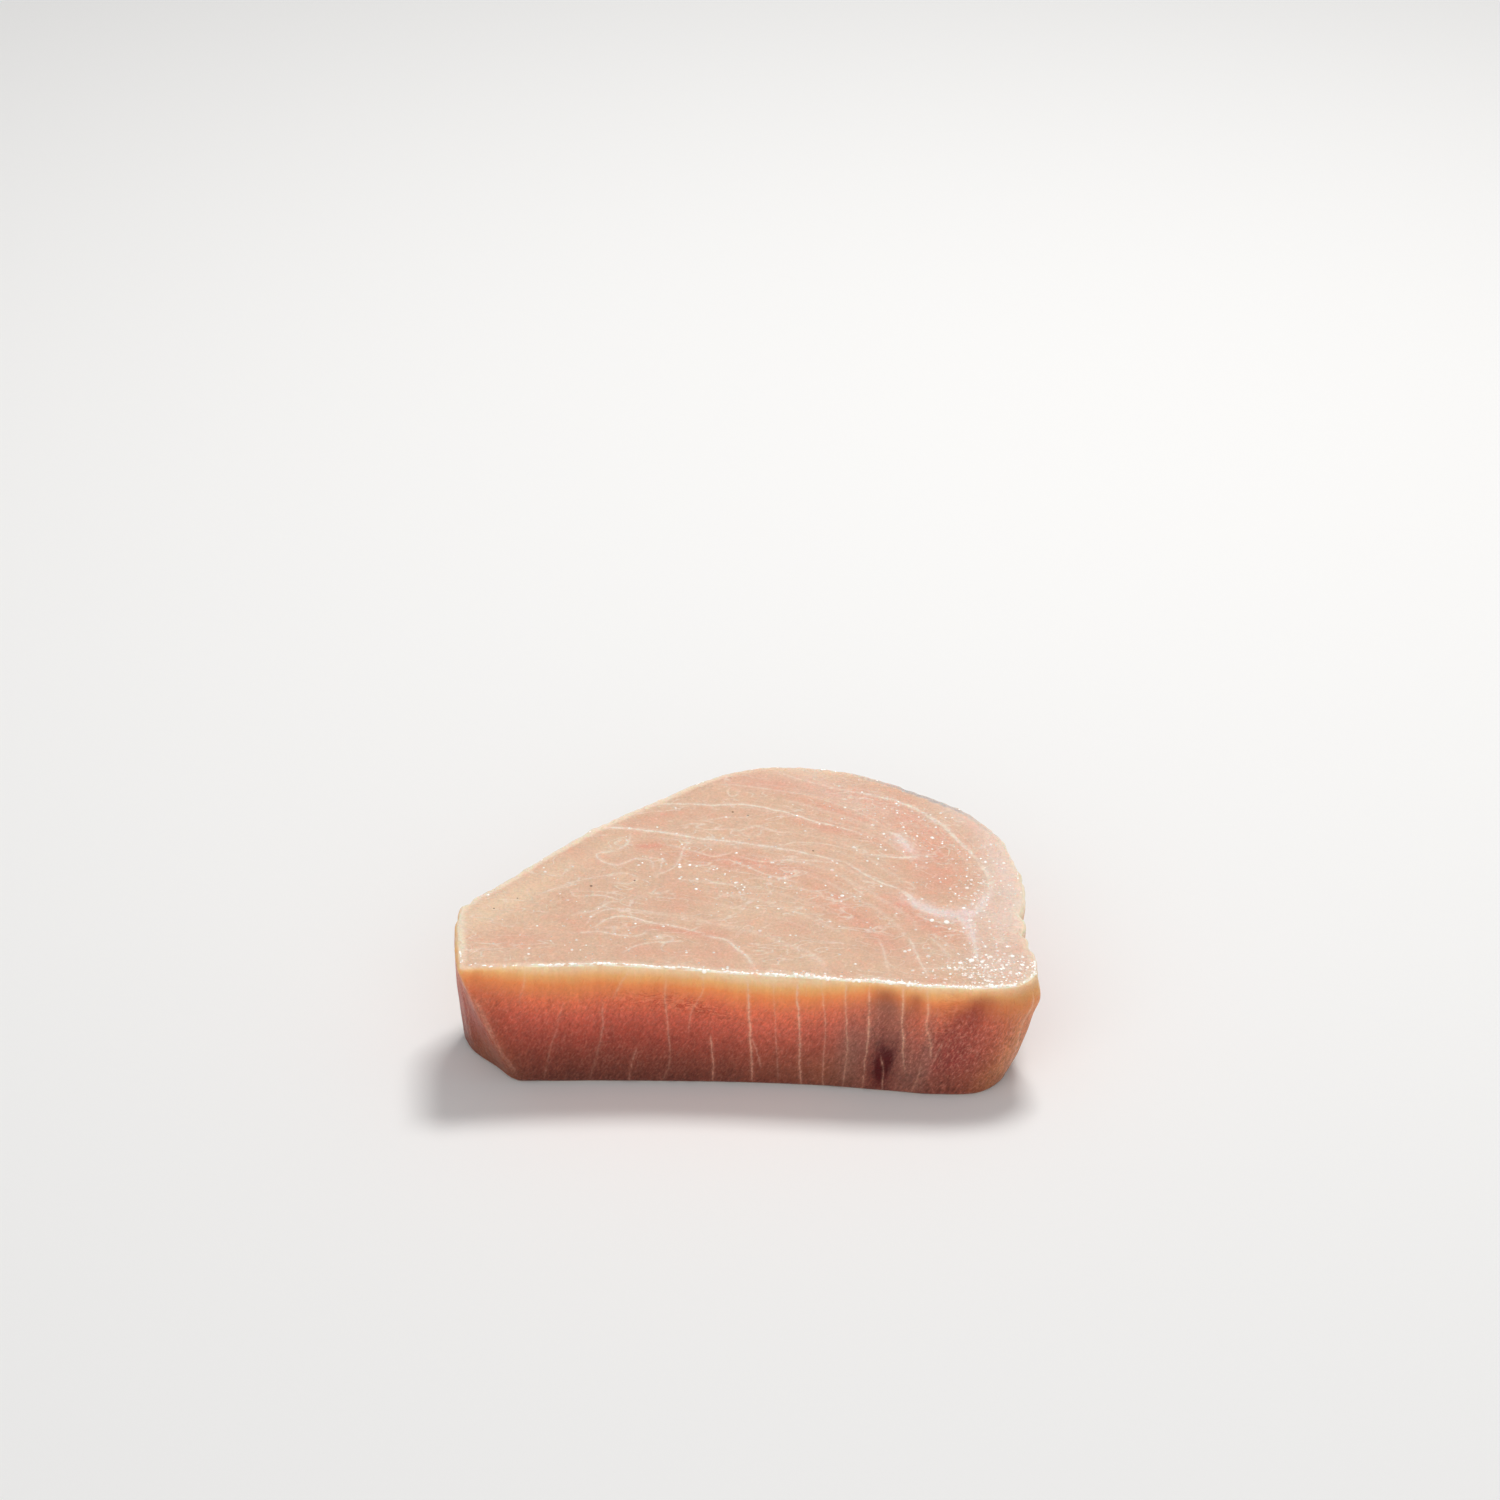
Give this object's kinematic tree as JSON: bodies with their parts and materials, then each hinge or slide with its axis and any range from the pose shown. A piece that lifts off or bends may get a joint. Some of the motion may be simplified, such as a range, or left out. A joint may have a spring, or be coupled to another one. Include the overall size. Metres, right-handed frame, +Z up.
{
  "type": "swordfish steak",
  "caption": "Raw boneless swordfish loin steak: a thick fan-shaped slab of fish with a straight split face, a blunt tip and an arched skin side, to lie flat on a board, plate or pan.",
  "frame": {"origin": "centre of the bounding box in X and Y, at the lower cut face that the steak lies on", "axes": "+X along the straight split face from the blunt tip to the torn end, +Y from the split face to the skin side, +Z up through the thickness"},
  "size_m": [0.1112, 0.0834, 0.0266],
  "materials": {
    "flesh": "moist raw fish, satin with a wet glaze, pale beige-pink on the cut faces and orange-pink on the walls",
    "moisture": "clear beads of water"
  },
  "bodies": {
    "root": {"steak": "flesh"}
  },
  "joints": []
}
